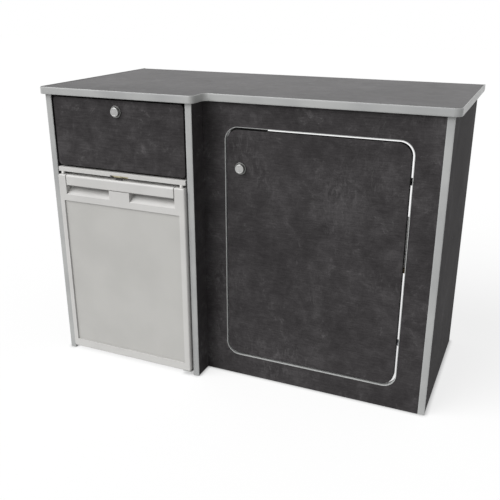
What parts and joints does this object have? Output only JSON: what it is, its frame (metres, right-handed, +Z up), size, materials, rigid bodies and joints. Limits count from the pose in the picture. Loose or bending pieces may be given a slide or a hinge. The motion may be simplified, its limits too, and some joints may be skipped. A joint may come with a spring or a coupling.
{
  "type": "campervan furniture unit",
  "caption": "Freestanding camper kitchen unit: stepped worktop over a drawer, a small fridge and a set-back cupboard with a round-cornered door.",
  "frame": {"origin": "on the floor, under the middle of the whole unit's box", "axes": "+X to the right seen from the front, +Y to the rear, +Z up"},
  "size_m": [1.037, 0.5066, 0.745],
  "materials": {
    "slate_laminate": "satin",
    "worktop_laminate": "satin",
    "edge_trim": "satin",
    "pale_board": "matte",
    "plywood": "matte",
    "zinc_plated_steel": "satin",
    "satin_chrome": "satin",
    "latch_brass": "satin",
    "fridge_grey_plastic": "satin",
    "insert_panel": "satin",
    "fridge_white_plastic": "satin",
    "black_steel": "satin",
    "aluminium": "satin",
    "seal_rubber": "matte"
  },
  "bodies": {
    "carcass": {"worktop_panel": "worktop_laminate", "worktop_edge_trim": "edge_trim", "left_end_panel": "slate_laminate", "left_end_upright_trim": "edge_trim", "mid_panel": "slate_laminate", "mid_upright_trim": "edge_trim", "right_end_panel": "slate_laminate", "right_end_upright_trim": "edge_trim", "front_panel": "slate_laminate", "door_opening_trim": "edge_trim", "shelf": "pale_board", "shelf_cleat_left": "pale_board", "shelf_cleat_right": "pale_board", "rear_top_rail": "pale_board", "fridge_deck": "plywood", "drawer_lock_rail": "pale_board", "drawer_lock_keep": "zinc_plated_steel", "door_lock_keep": "zinc_plated_steel", "runner_cabinet_left": "zinc_plated_steel", "runner_cabinet_right": "zinc_plated_steel", "hinge_arm_upper": "zinc_plated_steel", "hinge_arm_lower": "zinc_plated_steel", "fridge_housing": "fridge_white_plastic", "fridge_liner": "fridge_white_plastic", "fridge_top_rail": "fridge_grey_plastic", "fridge_latch_plate": "latch_brass", "fridge_ice_box": "aluminium", "fridge_shelf_lower": "aluminium", "fridge_shelf_upper": "aluminium", "compressor": "black_steel", "condenser": "black_steel"},
    "drawer": {"drawer_front": "slate_laminate", "drawer_side_left": "plywood", "drawer_side_right": "plywood", "drawer_back": "plywood", "drawer_bottom": "plywood", "runner_drawer_left": "zinc_plated_steel", "runner_drawer_right": "zinc_plated_steel", "drawer_lock_housing": "satin_chrome"},
    "drawer_runner_middles": {"runner_middle_left": "zinc_plated_steel", "runner_middle_right": "zinc_plated_steel"},
    "drawer_lock_button": {"drawer_lock_button": "satin_chrome"},
    "drawer_lock_bolt": {"drawer_lock_bolt": "zinc_plated_steel"},
    "hinge_inner_links": {"hinge_inner_link_upper": "zinc_plated_steel", "hinge_inner_link_lower": "zinc_plated_steel"},
    "cupboard_door": {"cupboard_door_panel": "slate_laminate", "door_lock_housing": "satin_chrome", "hinge_cup_upper": "zinc_plated_steel", "hinge_cup_lower": "zinc_plated_steel"},
    "hinge_outer_links": {"hinge_outer_link_upper": "zinc_plated_steel", "hinge_outer_link_lower": "zinc_plated_steel"},
    "door_lock_button": {"door_lock_button": "satin_chrome"},
    "door_lock_bolt": {"door_lock_bolt": "zinc_plated_steel"},
    "fridge_door": {"fridge_door_frame": "fridge_grey_plastic", "fridge_door_insert": "insert_panel", "fridge_door_liner": "fridge_white_plastic", "fridge_door_gasket": "seal_rubber", "door_rack_lower": "fridge_white_plastic", "door_rack_upper": "fridge_white_plastic"},
    "fridge_handle": {"fridge_handle_bar": "fridge_grey_plastic"}
  },
  "joints": [
    {"name": "drawer_slide", "type": "slide", "parent": "carcass", "child": "drawer", "axis": [0, -1, 0], "range_m": [0, 0.35]},
    {"name": "runner_middle_slide", "type": "slide", "parent": "carcass", "child": "drawer_runner_middles", "axis": [0, -1, 0], "range_m": [0, 0.175]},
    {"name": "drawer_lock_press", "type": "slide", "parent": "drawer", "child": "drawer_lock_button", "axis": [0, 1, 0], "range_m": [0, 0.007]},
    {"name": "drawer_lock_bolt_slide", "type": "slide", "parent": "drawer", "child": "drawer_lock_bolt", "axis": [0, 0, 1], "range_m": [0, 0.006]},
    {"name": "hinge_inner_link_turn", "type": "hinge", "parent": "carcass", "child": "hinge_inner_links", "pos_m": [0.4345, -0.16275, 0.573], "axis": [0, 0, 1], "range_deg": [0, 18]},
    {"name": "cupboard_door_hinge", "type": "hinge", "parent": "hinge_inner_links", "child": "cupboard_door", "pos_m": [0.3995, -0.17975, 0.573], "axis": [0, 0, 1], "range_deg": [0, 72]},
    {"name": "hinge_outer_link_turn", "type": "hinge", "parent": "carcass", "child": "hinge_outer_links", "pos_m": [0.4295, -0.16475, 0.573], "axis": [0, 0, 1], "range_deg": [0, 30.66]},
    {"name": "door_lock_press", "type": "slide", "parent": "cupboard_door", "child": "door_lock_button", "axis": [0, 1, 0], "range_m": [0, 0.007]},
    {"name": "door_lock_bolt_slide", "type": "slide", "parent": "cupboard_door", "child": "door_lock_bolt", "axis": [-1, 0, 0], "range_m": [0, 0.01]},
    {"name": "fridge_door_hinge", "type": "hinge", "parent": "carcass", "child": "fridge_door", "pos_m": [-0.1169, -0.24475, 0.266], "axis": [0, 0, 1], "range_deg": [0, 110]},
    {"name": "fridge_handle_tilt", "type": "hinge", "parent": "fridge_door", "child": "fridge_handle", "pos_m": [-0.2955, -0.24625, 0.514], "axis": [-1, 0, 0], "range_deg": [0, 12]}
  ],
  "couplings": [
    {"joint": "runner_middle_slide", "follows": "drawer_slide", "ratio": 0.5},
    {"joint": "drawer_lock_bolt_slide", "follows": "drawer_lock_press", "ratio": 0.85714},
    {"joint": "hinge_inner_link_turn", "follows": "cupboard_door_hinge", "ratio": 0.25},
    {"joint": "hinge_outer_link_turn", "follows": "cupboard_door_hinge", "ratio": 0.42579},
    {"joint": "door_lock_bolt_slide", "follows": "door_lock_press", "ratio": 1.4286}
  ]
}
